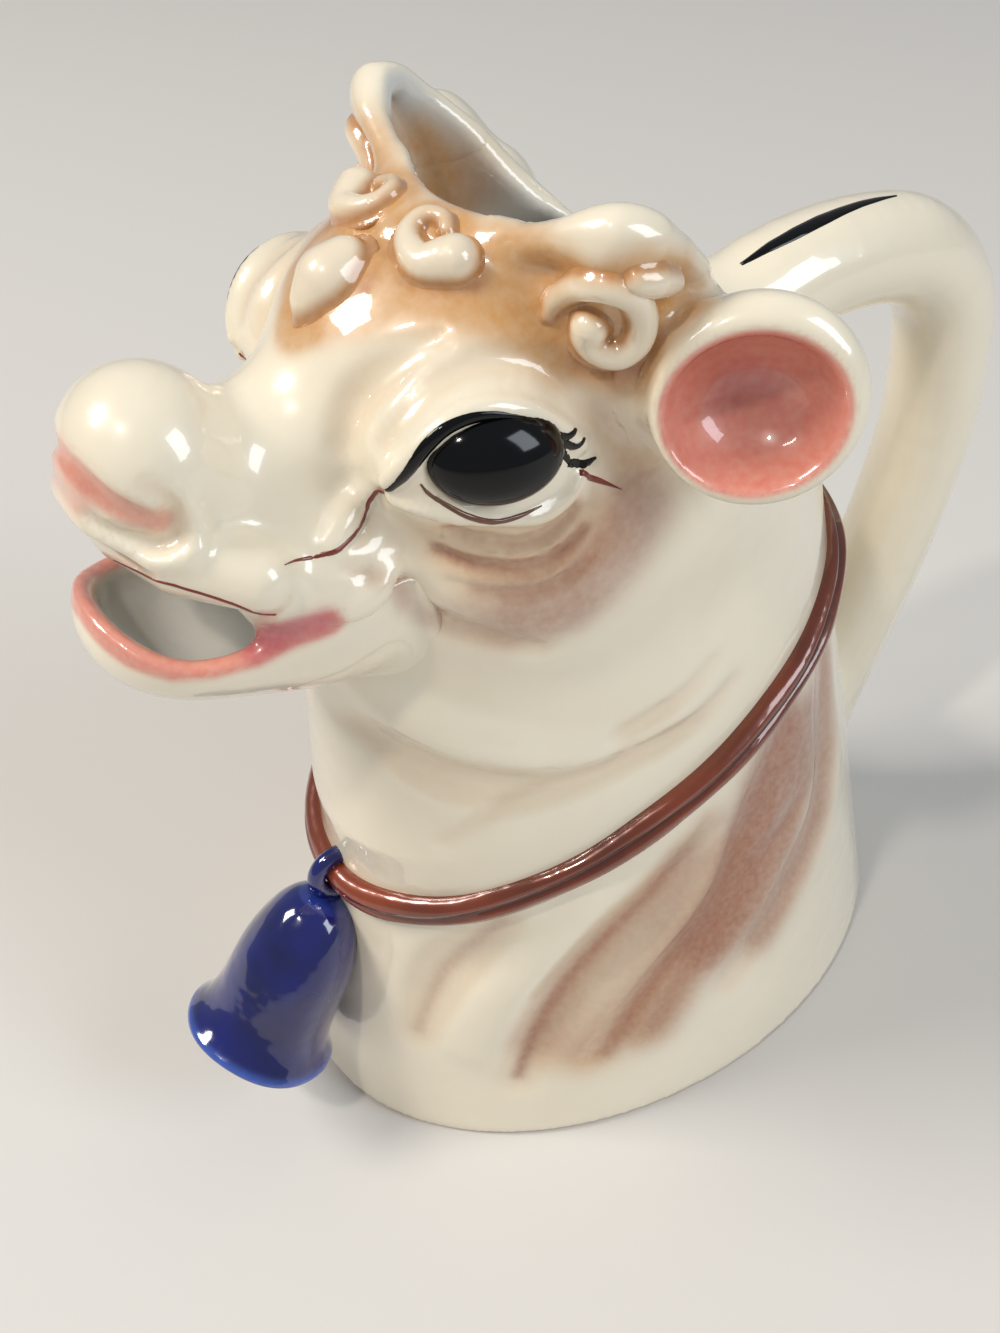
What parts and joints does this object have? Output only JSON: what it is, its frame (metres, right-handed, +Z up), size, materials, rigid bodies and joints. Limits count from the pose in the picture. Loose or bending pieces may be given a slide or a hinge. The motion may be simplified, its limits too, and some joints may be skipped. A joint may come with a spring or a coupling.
{
  "type": "cow creamer",
  "caption": "Ceramic cream jug in the shape of a cow's head, with an open crown to fill, an open mouth to pour, a loop handle at the back and a blue bell on a brown collar.",
  "frame": {"origin": "The middle of the oval foot, on the surface that the jug stands on.", "axes": "The cow faces -Y, +Z is up and +X is the cow's left. The jug is the same on both sides of the YZ plane."},
  "size_m": [0.075, 0.1337, 0.1355],
  "materials": {
    "cream_glaze": "clear gloss glaze over a cream slip-cast body, airbrushed with tan and orange-brown",
    "coral_glaze": "coral-pink underglaze under a clear gloss glaze",
    "tan_glaze": "tan airbrushed underglaze under a clear gloss glaze",
    "brown_lustre": "reddish-brown glaze with a slightly metallic sheen",
    "cobalt_glaze": "deep blue gloss glaze",
    "black_glaze": "black gloss enamel"
  },
  "bodies": {
    "root": {"neck_shell": "cream_glaze", "head_shell": "cream_glaze", "lower_jaw": "coral_glaze", "handle": "cream_glaze", "ear_left": "cream_glaze", "ear_right": "cream_glaze", "horn_left": "cream_glaze", "horn_right": "cream_glaze", "collar": "brown_lustre", "bell": "cobalt_glaze", "bell_loop": "cobalt_glaze", "eye_left": "black_glaze", "eye_right": "black_glaze", "curl_middle": "tan_glaze", "curl_ring_left": "tan_glaze", "curl_ring_right": "tan_glaze", "curl_spiral_left": "tan_glaze", "curl_spiral_right": "tan_glaze", "curl_knob_left": "tan_glaze", "curl_knob_right": "tan_glaze"}
  },
  "joints": []
}
